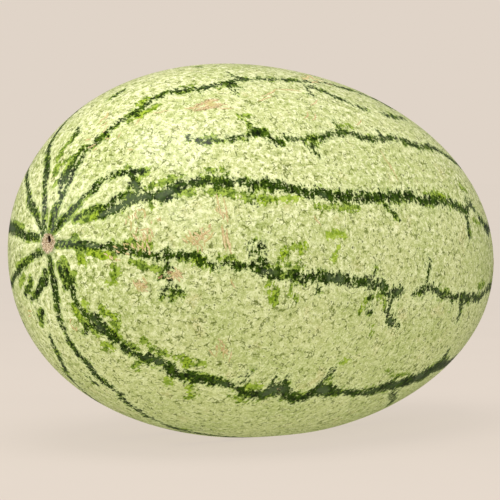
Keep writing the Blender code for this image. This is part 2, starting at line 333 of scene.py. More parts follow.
# Healed, pinkish-tan corky patches.
CORK = [
    [(35.5, 101, .7), (37, 101.5, 1.6), (38.5, 99.5, .8)],
    [(28, 110, .7), (29.5, 110.5, 1.5), (30.5, 109.5, .8)],
    [(50, 32, .7), (52, 31.5, 1.1), (56, 31, 1.2), (58, 32, .8)],
    [(51, 33.5, .7), (55, 34.5, .9), (58, 35.5, .5)],
    [(35, 100.5, .4), (33, 104, .3)],
    [(71.5, 134.5, .7), (72.3, 135.5, .6)],
]

# Grey on the middles of wide stripes: partly waxy bloom, partly painted sheen that stands in for a
# highlight's grey on the dark stripes, most of all on the shoulder stripe.
WAX_AND_SHEEN = [
    [(16.5, 64.5, .9), (20, 65, 1.4), (22, 63.8, 1.8), (26, 61.8, 3.2), (29, 62.8, 2.6)],
    [(12.5, 90.8, 1.2), (15.5, 91.3, 1.0)],
    [(28, 54, 1.4), (28.5, 58, 1.4)],
    [(33, 65.5, 1.6), (36, 64.5, 1.6)],
    [(15.5, -49, 1.4), (17, -48, 1.2)],
    [(57, 96.4, 1.2), (60, 96.4, 1.0)],
    [(82, 134, 2.4), (84, 134.5, 2.0)],
]

# Fine corky scratches: (start t, start a, end t, end a, half width mm, bend mm).
SCRATCHES = [
    (40.2, 83.5, 43.0, 86.0, .34, .6), (41.0, 87.5, 44.6, 82.0, .36, -.5),
    (39.0, 82.5, 41.6, 88.0, .30, .4), (38.2, 84.5, 40.8, 89.0, .30, .3),
    (42.6, 87.6, 45.0, 83.6, .28, .3), (43.6, 82.0, 44.4, 80.6, .26, .1),
    (41.8, 83.0, 42.6, 81.6, .24, .1), (38.6, 86.6, 41.4, 85.0, .26, -.3),
    (46.6, 69.5, 47.4, 79.5, .24, .8), (48.0, 71.0, 48.4, 81.0, .22, -.6),
    (46.9, 81.0, 48.0, 90.5, .34, .5), (48.0, 82.5, 49.3, 91.5, .32, .4),
    (47.6, 85.5, 49.0, 89.5, .26, -.3), (26.8, 69.6, 26.8, 74.8, .26, 1.0),
    (28.2, 69.4, 28.4, 75.0, .26, -1.0), (27.0, 69.4, 28.2, 69.4, .22, .2),
    (25.0, 82.5, 26.2, 85.5, .26, .4), (26.8, 80.8, 29.4, 80.4, .22, .3),
    (27.8, 82.0, 28.8, 86.0, .28, .5), (29.6, 80.6, 30.4, 85.2, .24, -.4),
    (31.4, 75.8, 32.6, 77.4, .22, .3), (31.6, 77.6, 32.4, 75.6, .20, .2),
    (26.0, 88.0, 28.0, 91.0, .24, .3), (28.6, 87.0, 29.6, 91.6, .24, .3),
    (36.2, 98.2, 38.8, 102.6, .30, .4), (35.4, 102.0, 37.6, 99.0, .28, .2),
    (34.4, 104.0, 36.6, 102.6, .26, .2), (28.0, 107.4, 30.0, 112.6, .28, .4),
    (27.6, 112.0, 30.4, 108.6, .24, .2), (26.6, 109.0, 29.0, 114.0, .24, .2),
    (28.8, 105.6, 30.6, 108.2, .22, .2), (49.4, 30.4, 53.4, 33.2, .30, .5),
    (52.2, 34.2, 57.6, 31.0, .30, .6), (54.0, 31.2, 59.0, 35.4, .28, .4),
    (50.4, 33.2, 52.8, 30.6, .24, .3), (56.2, 36.2, 59.6, 37.6, .22, .3),
    (68.0, 34.4, 74.0, 31.4, .26, .9), (74.0, 31.4, 79.6, 32.8, .26, -.6),
    (66.4, 36.6, 71.0, 34.6, .22, .4), (78.4, 40.0, 82.0, 36.6, .20, .4),
    (84.6, 24.0, 87.6, 20.4, .34, .4), (86.8, 22.4, 89.4, 17.4, .32, .4),
    (88.4, 21.6, 90.4, 16.2, .30, .3), (85.8, 26.0, 88.6, 23.6, .24, .2),
    (74.4, 45.6, 76.4, 42.8, .22, .8), (76.2, 46.4, 78.2, 43.2, .20, .8),
    (87.0, 47.0, 89.6, 44.0, .20, .5), (90.0, 56.0, 90.8, 63.0, .20, .3),
    (90.6, 60.0, 91.6, 66.5, .18, -.2), (51.4, 121.5, 53.6, 124.0, .24, .2),
    (52.6, 124.6, 55.6, 126.6, .28, .3), (53.6, 123.0, 55.0, 128.6, .22, .3),
    (55.8, 125.0, 56.6, 129.4, .22, -.2), (50.6, 127.0, 53.0, 129.0, .20, .2),
    (50.0, 99.8, 51.4, 103.0, .22, .2), (68.8, 78.6, 70.2, 82.0, .20, .2),
    (19.8, 162.6, 20.8, 166.6, .24, .6), (21.0, 166.8, 23.0, 163.6, .24, .6),
    (22.0, 162.8, 23.2, 165.4, .22, -.3), (20.8, 211.0, 22.4, 216.4, .26, .3),
    (22.4, 211.6, 24.4, 216.6, .24, .3), (31.0, 13.6, 34.0, 13.0, .24, .3),
    (33.4, 6.0, 37.4, 6.8, .24, .5), (35.2, 8.2, 37.8, 5.0, .22, .3), (32.4, 9.4, 35.0, 10.4, .20, .2),
    (37.0, 25.0, 40.0, 23.2, .18, .3), (43.0, 24.6, 46.4, 27.6, .20, .3),
    (31.6, 24.4, 33.6, 22.8, .20, .2), (31.2, 34.0, 32.4, 36.4, .24, .3), (100, 250, 104, 262, .30, .9),
    (103, 252, 108, 260, .28, -.5), (98, 262, 101, 268, .26, .4), (60, 232, 67, 236, .26, .8),
    (62, 238, 66, 233, .24, .3), (130, 150, 134, 158, .28, .5), (128, 20, 134, 26, .26, .6),
    (131, 17, 135, 22, .24, .3), (140, 85, 146, 90, .28, .6), (142, 92, 147, 86, .26, .4),
    (118, 300, 123, 308, .30, .6), (70, -30, 76, -26, .26, .6),
]

# Rubbed spots: t, a, reach in mm, strokes, heading in degrees from lengthwise, stroke length in mm.
RUBBED = [
    (28.0, 84.0, 9.0, 20, 75.0, 3.4), (24.5, 73.0, 4.0, 5, 90.0, 2.6), (40.5, 86.0, 7.0, 12, 60.0, 4.6),
    (47.5, 76.0, 5.0, 4, 85.0, 5.0), (36.5, 101.0, 4.0, 5, 40.0, 3.4), (20.0, 97.0, 6.0, 6, 30.0, 2.6),
    (22.0, 92.0, 6.0, 5, 30.0, 3.0), (54.5, 32.5, 5.0, 8, 20.0, 4.6), (88.0, 21.0, 6.0, 8, 40.0, 3.8),
    (53.0, 124.5, 5.0, 8, 60.0, 3.4), (29.0, 111.0, 3.0, 4, 30.0, 3.0), (26.0, 16.0, 8.0, 5, 20.0, 4.0),
]


def srgb(red, green, blue):
    """Linear colour with alpha for display values of 0 to 255."""
    channels = []
    for value in (red, green, blue):
        share = value / 255.0
        channels.append(share / 12.92 if share <= 0.04045 else ((share + 0.055) / 1.055) ** 2.4)
    return (*channels, 1.0)


def smoothstep(share):
    """Eased step of a share, held between 0 and 1."""
    share = np.clip(share, 0.0, 1.0)
    return share * share * (3.0 - 2.0 * share)


# ---------------------------------------------------------------- shape functions
def body_radius(station):
    """Radius of the plain body at a station, -1 at the blossom end and 1 at the stem end."""
    fullness = np.clip(1.0 - np.abs(station) ** END_POWER, 0.0, 1.0) ** (1.0 / END_POWER)
    return HALF_GIRTH * fullness * (1.0 - BLOSSOM_SWELL * station)


def mm_per_round_degree(t):
    """Millimetres on the rind for one degree round, t degrees from the blossom."""
    return float(body_radius(-math.cos(math.radians(t)))) * 1000.0 * math.pi / 180.0


def pole_height(radius, end):
    """Height of an end's skin above the middle of the fruit, at a radius from the axis."""
    widest = HALF_GIRTH * (1.0 - BLOSSOM_SWELL * end)
    return HALF_LENGTH * (1.0 - (radius / widest) ** END_POWER) ** (1.0 / END_POWER)


def scar_relief(radius):
    """Shallow bowl of the blossom scar with its raised rim."""
    share = radius / SCAR_RADIUS
    bowl = -SCAR_DEPTH * (1.0 - smoothstep(share))
    rim = SCAR_RIM * np.exp(-(((share - 1.0) / SCAR_RIM_WIDTH) ** 2))
    return bowl + rim


def dimple_relief(radius):
    """Dimple round the seat of the stem."""
    share = (radius - SEAT_RADIUS) / (DIMPLE_RADIUS - SEAT_RADIUS)
    return -DIMPLE_DEPTH * (1.0 - smoothstep(share))


def plain_point(t):
    """Place along the axis, radius and station on the plain body, before it is tilted."""
    cosine = np.cos(t)
    sine = np.abs(np.sin(t))
    station = -np.sign(cosine) * np.abs(cosine) ** (2.0 / END_POWER)
    radius = HALF_GIRTH * sine ** (2.0 / END_POWER) * (1.0 - BLOSSOM_SWELL * station)
    along = HALF_LENGTH * station
    blossom = np.where(station < 0.0, scar_relief(radius), 0.0)
    stem = np.where(station > 0.0, dimple_relief(radius), 0.0)
    along = along - blossom + stem
    return along, radius, station


def grown_relief(a, radius, station):
    """Gentle swelling of the flesh under the rind, and the puckers that run into both ends."""
    turn = np.cos(3.0 * a + 1.1 + 1.2 * station) + 0.7 * np.cos(5.0 * a - 2.0 - 2.1 * station)
    flank = 0.00028 * turn * smoothstep(radius / 0.05)
    ripple = np.sin(6.3 * station + 0.8) * np.cos(2.0 * a + 0.4)
    lumps = flank + 0.00022 * ripple * smoothstep(radius / 0.05)
    pucker = np.cos(11.0 * a + 0.7 * np.sin(3.0 * a) + 0.6) + 0.45 * np.cos(19.0 * a + 1.9)
    near_blossom = np.where(station < 0.0, 1.0, 0.0) * np.exp(-(((radius - 0.013) / 0.0075) ** 2))
    near_stem = np.where(station > 0.0, 1.0, 0.0) * np.exp(-(((radius - 0.019) / 0.010) ** 2))
    return lumps + pucker * (0.00030 * near_blossom + 0.00050 * near_stem)


def pit_share(up, side, half_height, half_width):
    """1 inside the pit of the fallen flower, falling to 0 past its edge."""
    return np.exp(-(((up - PIT_UP) / half_height) ** 2 + ((side + PIT_SIDE) / half_width) ** 2) ** 1.6)


def scar_detail(radius, a, station):
    """Depth below the plain scar: corky grains, a frayed rim and the pit of the fallen flower."""
    up = radius * np.cos(a)
    side = radius * np.sin(a)
    inside = np.where(station < 0.0, 1.0, 0.0) * (1.0 - smoothstep((radius - 0.0045) / 0.0030))
    grains = 0.00016 * np.sin(2400.0 * up + 1.3 * np.sin(1500.0 * side))
    grains = grains * np.sin(2100.0 * side + 0.9 * np.sin(1700.0 * up))
    pit = pit_share(up, side, 0.0017, 0.00125)
    lip = np.exp(-((np.hypot((up - PIT_UP) / 1.25, side + PIT_SIDE) - 0.0021) / 0.0006) ** 2)
    return inside * (grains + 0.00022 * lip - 0.0019 * pit)


def rind_point(t, a):
    """Finished rind surface in the part's frame, for arrays of the two angles in radians."""
    along, radius, station = plain_point(t)
    relief = grown_relief(a, radius, station)
    outward = relief * np.clip(np.sin(t), 0.0, 1.0)
    endward = relief * -np.cos(t) - scar_detail(radius, a, station)
    grown = radius + outward
    share = 1.0 - (along / HALF_LENGTH) ** 2
    x = along + endward
    y = -grown * np.sin(a) + BOW_BACK * share
    z = grown * np.cos(a) + BOW_UP * share
    tilted_x = x * math.cos(TILT) + z * math.sin(TILT)
    tilted_z = -x * math.sin(TILT) + z * math.cos(TILT)
    return np.stack([tilted_x, y, tilted_z], axis=-1)


def fruit_shift():
    """Shift that brings the grown shape to the fruit's place in the frame."""
    t, a = np.meshgrid(np.radians(np.linspace(0.0, 180.0, 361)), np.radians(np.arange(0.0, 360.0, 1.0)))
    points = rind_point(t, a).reshape(-1, 3)
    low, high = points.min(axis=0), points.max(axis=0)
    box_low, box_high = np.array(FRUIT_BOX[0], float), np.array(FRUIT_BOX[1], float)
    shift = (box_low + box_high - low - high) / 2.0
    shift[2] = box_high[2] - high[2]
    return shift


SHIFT = fruit_shift()
FLAT_SOFTNESS = 0.0004


def placed(points):
    """Moves points to the frame and presses the lowest ones flat on the ground."""
    moved = points + SHIFT
    height = moved[..., 2]
    moved[..., 2] = np.where(
        height > 4.0 * FLAT_SOFTNESS,
        height,
        FLAT_SOFTNESS * np.logaddexp(0.0, height / FLAT_SOFTNESS),
    )
    return moved


def rind_normal(t, a):
    """Outward unit normal of the rind, from small steps of the two angles."""
    step = 0.002
    down = rind_point(t + step, a) - rind_point(t - step, a)
    round_ = rind_point(t, a + step) - rind_point(t, a - step)
    normal = np.cross(down, round_)
    normal /= np.linalg.norm(normal, axis=-1, keepdims=True)
    facing = np.sign((rind_point(t, a) * normal).sum(axis=-1, keepdims=True))
    return normal * facing


# ---------------------------------------------------------------- distance fields of the marks
# Reach of a field and the slab of fruit handled at once, mm; vertices compared in one go.
FIELD_REACH = 14.0
SLAB = 6.0
BATCH = 1500
# Swelling of each kind of mark past its listed half width, mm.
STRIPE_SWELL = 0.75
MOSS_SWELL = 1.25
LIME_SWELL = 1.05
END_SWELL = 0.45
# One random patch for so many degrees of a far stretch.
PATCH_EVERY = 5


def route_samples(routes, swell, spacing=0.0011):
    """Points along each route on the rind, with the half width in mm at each, swollen a little."""
    points, widths = [], []
    for route in routes:
        stops = np.array(route, float)
        t, a = np.radians(stops[:, 0]), np.radians(stops[:, 1])
        place = placed(rind_point(t, a))
        lengths = np.linalg.norm(np.diff(place, axis=0), axis=1)
        run = np.concatenate([[0.0], np.cumsum(lengths)])
        count = max(3, int(run[-1] / spacing) + 1)
        at = np.linspace(0.0, run[-1], count)
        points.append(placed(rind_point(np.interp(at, run, t), np.interp(at, run, a))))
        near_end = np.exp(-np.degrees(np.interp(at, run, t)) / 22.0)
        widths.append(np.interp(at, run, stops[:, 2]) + swell + END_SWELL * near_end)
    return np.concatenate(points), np.concatenate(widths)


def edge_field(vertices, routes, swell):
    """Distance in mm from each vertex to the nearest mark's edge, negative inside a mark."""
    points, widths = route_samples(routes, swell)
    points = points * 1000.0
    vertices = vertices * 1000.0
    field = np.full(len(vertices), FIELD_REACH)
    slab = np.floor(vertices[:, 0] / SLAB)
    for number in np.unique(slab):
        rows = np.nonzero(slab == number)[0]
        near = np.abs(points[:, 0] - (number + 0.5) * SLAB) < SLAB / 2.0 + FIELD_REACH
        if not near.any():
            continue
        some, their = points[near], widths[near]
        for start in range(0, len(rows), BATCH):
            part = rows[start : start + BATCH]
            gap = vertices[part][:, None, :] - some[None, :, :]
            distance = np.sqrt((gap * gap).sum(axis=2)) - their[None, :]
            field[part] = np.minimum(field[part], distance.min(axis=1))
    return field


def grown_spurs(random):
    """Side spurs on the far stretches of the long stripes."""
    spurs = []
    for first, stops in zip(FAR_FROM, LONG_ROUTES):
        route = np.array(stops, float)
        t = first + random.uniform(1.0, 6.0)
        while t < LAST_SPUR:
            a = np.interp(t, route[:, 0], route[:, 1])
            width = np.interp(t, route[:, 0], route[:, 2])
            side = random.choice([-1.0, 1.0])
            reach = (width + random.uniform(1.5, 8.0) ** 1.1) / mm_per_round_degree(t)
            lean = random.uniform(-1.2, 1.2)
            thick = random.uniform(0.6, 1.5)
            spurs.append([(t, a, width * 0.8), (t + lean * 0.5, a + side * reach * 0.6, thick),
                          (t + lean, a + side * reach, thick * 0.5)])
            t += random.choice([2.0, 4.0, 7.0, 11.0, 16.0]) * random.uniform(0.6, 1.2)
    return spurs


def grown_patches(random):
    """Mid-green and bright patches that keep the far stretches company."""
    moss, lime = [], []
    for first, stops in zip(FAR_FROM, LONG_ROUTES):
        route = np.array(stops, float)
        for _ in range(int((LAST_PATCH - first) / PATCH_EVERY)):
            t = random.uniform(first, LAST_PATCH)
            a = np.interp(t, route[:, 0], route[:, 1])
            off = random.choice([-1.0, 1.0]) * random.uniform(1.5, 6.0) / mm_per_round_degree(t)
            long = random.uniform(0.6, 2.4)
            patch = [(t, a + off, random.uniform(0.5, 1.2)),
                     (t + long, a + off * random.uniform(0.7, 1.3), random.uniform(0.5, 1.2))]
            (lime if random.random() < 0.3 else moss).append(patch)
    return moss, lime


# ---------------------------------------------------------------- node helpers
class Graph:
    """Short calls for the nodes of one material."""

    def __init__(self, material):
        material.use_nodes = True
        self.tree = material.node_tree
        self.tree.nodes.clear()
        self.column = 0

    def node(self, kind, label="", **settings):
        made = self.tree.nodes.new(kind)
        made.label = label
        made.location = (self.column * 190 % 3800, -(self.column * 190 // 3800) * 320)
        self.column += 1
        for name, value in settings.items():
            setattr(made, name, value)
        return made

    def feed(self, socket, value):
        if isinstance(value, bpy.types.NodeSocket):
            self.tree.links.new(value, socket)
        else:
            socket.default_value = value

    def math(self, operation, first, second=0.0, third=0.0, clamp=False):
        made = self.node("ShaderNodeMath", operation=operation, use_clamp=clamp)
        for socket, value in zip(made.inputs, (first, second, third)):
            self.feed(socket, value)
        return made.outputs[0]

    def ramp(self, value, low, high, to_low=0.0, to_high=1.0):
        """Smooth step of a value between two limits."""
        made = self.node("ShaderNodeMapRange", interpolation_type="SMOOTHSTEP")
        for socket, amount in zip(made.inputs, (value, low, high, to_low, to_high)):
            self.feed(socket, amount)
        return made.outputs[0]

    def mix(self, share, first, second, blend="MIX"):
        made = self.node("ShaderNodeMix", data_type="RGBA", blend_type=blend)
        self.feed(made.inputs[0], share)
        self.feed(made.inputs[6], first)
        self.feed(made.inputs[7], second)
        return made.outputs[2]

    def attribute(self, name, output="Fac"):
        made = self.node("ShaderNodeAttribute", label=name, attribute_name=name)
        return made.outputs[output]

    def stretched(self, vector, scale):
        made = self.node("ShaderNodeMapping", vector_type="POINT")
        self.feed(made.inputs["Vector"], vector)
        made.inputs["Scale"].default_value = scale
        return made.outputs[0]

    def noise(self, vector, scale, detail=2.0, roughness=0.5, distortion=0.0):
        made = self.node("ShaderNodeTexNoise")
        self.feed(made.inputs["Vector"], vector)
        made.inputs["Scale"].default_value = scale
        made.inputs["Detail"].default_value = detail
        made.inputs["Roughness"].default_value = roughness
        made.inputs["Distortion"].default_value = distortion
        return made.outputs["Fac"], made.outputs["Color"]

    def cells(self, vector, scale, feature="F1", randomness=1.0):
        made = self.node("ShaderNodeTexVoronoi", feature=feature)
        self.feed(made.inputs["Vector"], vector)
        made.inputs["Scale"].default_value = scale
        made.inputs["Randomness"].default_value = randomness
        return made

    def nudged(self, vector, nudge, amount):
        """A vector moved by a noise colour around its middle."""
        centred = self.node("ShaderNodeVectorMath", operation="SUBTRACT")
        self.feed(centred.inputs[0], nudge)
        centred.inputs[1].default_value = (0.5, 0.5, 0.5)
        scaled = self.node("ShaderNodeVectorMath", operation="SCALE")
        self.feed(scaled.inputs[0], centred.outputs[0])
        scaled.inputs["Scale"].default_value = amount
        moved = self.node("ShaderNodeVectorMath", operation="ADD")
        self.feed(moved.inputs[0], vector)
        self.feed(moved.inputs[1], scaled.outputs[0])
        return moved.outputs[0]

    def spread(self, value, amount):
        """A noise value turned into an offset around zero."""
        return self.math("MULTIPLY", self.math("SUBTRACT", value, 0.5), amount)

    def finish(self, colour, roughness, height, distance, coat=0.0, specular=0.05):
        shader = self.node("ShaderNodeBsdfPrincipled")
        self.feed(shader.inputs["Base Color"], colour)
        self.feed(shader.inputs["Roughness"], roughness)
        shader.inputs["Specular IOR Level"].default_value = specular
        shader.inputs["Coat Weight"].default_value = coat
        shader.inputs["Coat Roughness"].default_value = 0.20
        bump = self.node("ShaderNodeBump")
        self.feed(bump.inputs["Height"], height)
        bump.inputs["Distance"].default_value = distance
        self.feed(shader.inputs["Normal"], bump.outputs[0])
        output = self.node("ShaderNodeOutputMaterial")
        self.tree.links.new(shader.outputs[0], output.inputs["Surface"])
        return shader


# ---------------------------------------------------------------- materials
def pale_ground(g, props, place, flow):
    """Clouds, mottling, flecks and lengthwise streaks, with the noises that later layers use again."""
    broad = g.noise(place, 26.0, 3.0, 0.55)[0]
    clouds = g.noise(place, 130.0, 3.0, 0.6)[0]
    fine_value, fine_colour = g.noise(place, 330.0, 4.0, 0.72)
    grain = g.noise(place, 1300.0, 1.0, 0.5)[0]
    rough_patch = g.ramp(g.noise(place, 30.0, 2.0, 0.5)[0], 0.36, 0.64, 0.6, 1.0)
    rough_patch = g.math("MULTIPLY", rough_patch, g.attribute("mottle"))
    ground = g.mix(g.ramp(broad, 0.36, 0.66), tuple(props.pale), tuple(props.pale_green))
    ground = g.mix(g.ramp(clouds, 0.42, 0.66, 0.0, 0.4), ground, tuple(props.pale_green))
    tan_patch = g.ramp(g.noise(place, 62.0, 3.0, 0.6)[0], 0.58, 0.74, 0.0, 0.55)
    ground = g.mix(tan_patch, ground, srgb(208, 196, 142))
    shade = g.math("MULTIPLY", g.ramp(fine_value, 0.52, 0.68), rough_patch)
    fleck = g.math("MULTIPLY", g.ramp(fine_value, 0.50, 0.37), rough_patch)
    ground = g.mix(g.math("MULTIPLY", shade, 0.88), ground, srgb(118, 136, 36))
    ground = g.mix(g.math("MULTIPLY", fleck, 0.95), ground, srgb(248, 249, 206))
    ground = g.mix(g.math("MULTIPLY", g.ramp(grain, 0.52, 0.72), 0.35), ground, srgb(128, 140, 50))
    ground = g.mix(g.math("MULTIPLY", g.ramp(grain, 0.46, 0.30), 0.35), ground, srgb(250, 250, 212))
    specks = g.noise(place, 600.0, 2.0, 0.65)[0]
    ground = g.mix(g.math("MULTIPLY", g.ramp(specks, 0.56, 0.66), 0.28), ground, srgb(98, 112, 30))
    ground = g.mix(g.math("MULTIPLY", g.ramp(specks, 0.43, 0.34), 0.30), ground, srgb(250, 251, 212))

    # streaks that run from end to end, strongest near the blossom
    lengthwise = g.nudged(g.stretched(flow, (0.24, 1.0, 1.0)), fine_colour, 0.0010)
    streaks = g.noise(lengthwise, 360.0, 3.0, 0.62)[0]
    streak_patch = g.ramp(g.noise(place, 45.0, 2.0, 0.5)[0], 0.40, 0.60, 0.35, 1.0)
    streak_gate = g.math("MULTIPLY", streak_patch, g.attribute("streaky"))
    dark_streak = g.math("MULTIPLY", g.ramp(streaks, 0.55, 0.64), streak_gate)
    light_streak = g.math("MULTIPLY", g.ramp(streaks, 0.46, 0.38), streak_gate)
    ground = g.mix(g.math("MULTIPLY", light_streak, 0.80), ground, srgb(247, 250, 206))
    ground = g.mix(g.math("MULTIPLY", dark_streak, 0.82), ground, srgb(110, 130, 42))
    return ground, broad, grain, fine_value, fine_colour


def vein_net(g, ground, place, fine_colour):
    """Net of fine veins, broken into short curls with pale sides."""
    bent = g.nudged(place, g.noise(place, 230.0, 2.0, 0.5)[1], 0.0075)
    veins = g.cells(bent, 170.0, "DISTANCE_TO_EDGE").outputs["Distance"]
    vein_gate = g.ramp(g.noise(place, 250.0, 2.0, 0.6)[0], 0.53, 0.62)
    vein_side = g.math("MULTIPLY", g.ramp(veins, 0.26, 0.10), vein_gate)
    vein_line = g.math("MULTIPLY", g.ramp(veins, 0.085, 0.015), vein_gate)
    ground = g.mix(g.math("MULTIPLY", vein_side, 0.35), ground, srgb(240, 243, 192))
    ground = g.mix(g.math("MULTIPLY", vein_line, 0.85), ground, srgb(86, 98, 20))
    bent_small = g.nudged(place, fine_colour, 0.0035)
    curls = g.cells(bent_small, 300.0, "DISTANCE_TO_EDGE").outputs["Distance"]
    curl_gate = g.ramp(g.noise(place, 290.0, 2.0, 0.5)[0], 0.54, 0.60)
    curl_line = g.math("MULTIPLY", g.ramp(curls, 0.12, 0.03), curl_gate)
    ground = g.mix(g.math("MULTIPLY", curl_line, 0.85), ground, srgb(96, 110, 30))
    return ground, vein_line


def dark_dots(g, ground, place, fine_colour):
    """Dark dots, a few large and many small, each with a pale ring."""
    for scale, pick_from, most, strength in ((125.0, 0.62, 0.105, 0.8), (310.0, 0.62, 0.18, 0.7)):
        dots = g.cells(g.nudged(place, fine_colour, 0.0012), scale, "F1")
        dot_pick = g.node("ShaderNodeSeparateColor")
        g.feed(dot_pick.inputs[0], dots.outputs["Color"])
        dot_size = g.ramp(dot_pick.outputs[0], pick_from, 1.0, 0.0, most)
        reach = g.math("SUBTRACT", dots.outputs["Distance"], dot_size)
        shown = g.math("GREATER_THAN", dot_size, 0.01)
        ring = g.math("MULTIPLY", g.ramp(reach, most * 1.1, most * 0.4), shown)
        ground = g.mix(g.math("MULTIPLY", ring, 0.4), ground, srgb(242, 245, 198))
        spot = g.math("MULTIPLY", g.ramp(reach, most * 0.2, -most * 0.25), shown)
        ground = g.mix(g.math("MULTIPLY", spot, strength), ground, srgb(66, 76, 12))
    return ground


def striped(g, props, ground, place, flow, fine_value):
    """Dark stripes with toothed, wandering edges, and the green patches beside them."""
    across = g.stretched(flow, (1.0, 0.22, 0.22))
    calm = g.attribute("calm")
    teeth = g.spread(g.noise(across, 400.0, 3.0, 0.70)[0], 10.0)
    ragged = g.spread(g.noise(place, 520.0, 3.0, 0.72)[0], 11.0)
    sway = g.spread(g.noise(place, 170.0, 2.0, 0.5)[0], 7.0)
    wander = g.math("MULTIPLY", calm, g.math("ADD", teeth, g.math("ADD", ragged, sway)))
    dark_depth = g.math("ADD", g.attribute("dark_edge"), wander)
    moss_depth = g.math("ADD", g.attribute("moss_edge"), wander)
    lime_depth = g.math("ADD", g.attribute("lime_edge"), g.math("ADD", ragged, sway))
    holes = g.ramp(g.noise(place, 700.0, 2.0, 0.6)[0], 0.54, 0.60)
    rim_hole = g.math("MULTIPLY", holes, g.ramp(dark_depth, -3.0, -0.6))

    halo = g.ramp(dark_depth, 3.4, 0.6)
    halo_gate = g.ramp(g.noise(place, 95.0, 2.0, 0.6)[0], 0.50, 0.62)
    light_halo = g.math("MULTIPLY", g.ramp(dark_depth, 3.4, 1.2), 0.6)
    ground = g.mix(light_halo, ground, srgb(244, 248, 196))
    moss_tone = g.mix(g.ramp(fine_value, 0.40, 0.60), srgb(152, 176, 58), srgb(84, 112, 12))
    moss_mask = g.ramp(moss_depth, 0.35, -0.35)
    fringe = g.math("MULTIPLY", g.ramp(dark_depth, 1.8, 1.0), g.ramp(halo_gate, 0.0, 1.0, 0.45, 1.0))
    near_moss = g.math("MULTIPLY", g.math("MULTIPLY", halo, halo_gate), 0.75)
    moss_mask = g.math("MAXIMUM", moss_mask, g.math("MAXIMUM", near_moss, fringe))
    colour = g.mix(g.math("MULTIPLY", moss_mask, 0.94), ground, moss_tone)
    moss_specks = g.math("MULTIPLY", g.ramp(g.noise(place, 660.0, 2.0, 0.6)[0], 0.55, 0.60), moss_mask)
    lime_tone = g.mix(g.ramp(fine_value, 0.38, 0.62), srgb(166, 190, 54), srgb(108, 138, 10))
    lime_mask = g.ramp(lime_depth, 0.4, -0.4)
    colour = g.mix(g.math("MULTIPLY", lime_mask, 0.9), colour, lime_tone)
    colour = g.mix(g.math("MULTIPLY", moss_specks, 0.65), colour, srgb(40, 62, 2))

    # dark stripes with a waxy bloom in their middles, and a painted sheen where the highlight falls on
    # them
    stripe_tone = g.mix(g.ramp(fine_value, 0.36, 0.66), tuple(props.stripe), tuple(props.stripe_deep))
    bloom_gate = g.ramp(g.noise(place, 60.0, 2.0, 0.5)[0], 0.50, 0.66, 0.0, 0.6)
    bloom_and_sheen = g.math("MULTIPLY", g.ramp(dark_depth, -1.4, -3.4), bloom_gate)
    # painted sheen: the listed grey patches stand partly for the highlight's sheen on the dark stripes
    wax_and_sheen = g.math("MULTIPLY", g.ramp(g.attribute("wax_and_sheen_edge"), 0.8, -0.8), g.ramp(dark_depth, -0.2, -1.2))
    bloom_and_sheen = g.math("MAXIMUM", bloom_and_sheen, g.math("MULTIPLY", wax_and_sheen, 0.6))
    inner = g.math("MULTIPLY", g.ramp(g.noise(place, 270.0, 3.0, 0.6)[0], 0.55, 0.65), 0.5)
    stripe_tone = g.mix(inner, stripe_tone, srgb(88, 116, 20))
    stripe_tone = g.mix(bloom_and_sheen, stripe_tone, tuple(props.bloom_and_sheen))
    dark_mask = g.math("MULTIPLY", g.ramp(dark_depth, 0.3, -0.3), g.math("SUBTRACT", 1.0, rim_hole))
    colour = g.mix(dark_mask, colour, stripe_tone)
    return colour, dark_mask


def corky_patches(g, colour, place, grain):
    """Healed patches of tan cork."""
    cork_depth = g.math("ADD", g.attribute("cork_edge"), g.spread(g.noise(place, 700.0, 2.0, 0.6)[0], 5.0))
    cork_mask = g.ramp(cork_depth, 0.4, -0.5)
    cork_tone = g.mix(g.ramp(grain, 0.35, 0.65), srgb(220, 190, 148), srgb(160, 122, 82))
    colour = g.mix(g.math("MULTIPLY", cork_mask, 0.85), colour, cork_tone)
    return colour, cork_mask


def blossom_end(g, colour, place, grain):
    """Green rim, tan corky scar and its dark pit."""
    scar_grain = g.noise(place, 900.0, 2.0, 0.6)[0]
    scar_edge = g.math("ADD", g.attribute("blossom_mm"), g.spread(scar_grain, 4.0))
    rim_mask = g.math("MULTIPLY", g.ramp(scar_edge, 8.6, 6.4), g.ramp(scar_edge, 4.4, 5.4))
    colour = g.mix(g.math("MULTIPLY", rim_mask, 0.55), colour, srgb(70, 96, 34))
    scar_tone = g.mix(g.ramp(scar_grain, 0.34, 0.62), srgb(208, 186, 152), srgb(122, 94, 64))
    scar_tone = g.mix(g.ramp(grain, 0.52, 0.68, 0.0, 0.85), scar_tone, srgb(236, 222, 196))
    scar_mask = g.ramp(scar_edge, 5.9, 5.1)
    colour = g.mix(scar_mask, colour, scar_tone)
    pit = g.attribute("pit")
    colour = g.mix(g.ramp(pit, 0.15, 0.55), colour, srgb(40, 20, 8))
    return colour, scar_mask


def stem_end(g, colour, place, grain):
    """Darker collar and corky ring round the stub."""
    collar_edge = g.math("ADD", g.attribute("stem_mm"), g.spread(g.noise(place, 420.0, 2.0, 0.6)[0], 9.0))
    collar = g.ramp(collar_edge, 21.0, 13.0, 0.0, 0.75)
    colour = g.mix(collar, colour, srgb(104, 126, 46))
    ring = g.ramp(collar_edge, 12.8, 10.8)
    ring_tone = g.mix(g.ramp(grain, 0.35, 0.66), srgb(188, 164, 112), srgb(116, 92, 58))
    colour = g.mix(g.math("MULTIPLY", ring, 0.9), colour, ring_tone)
    return colour, ring


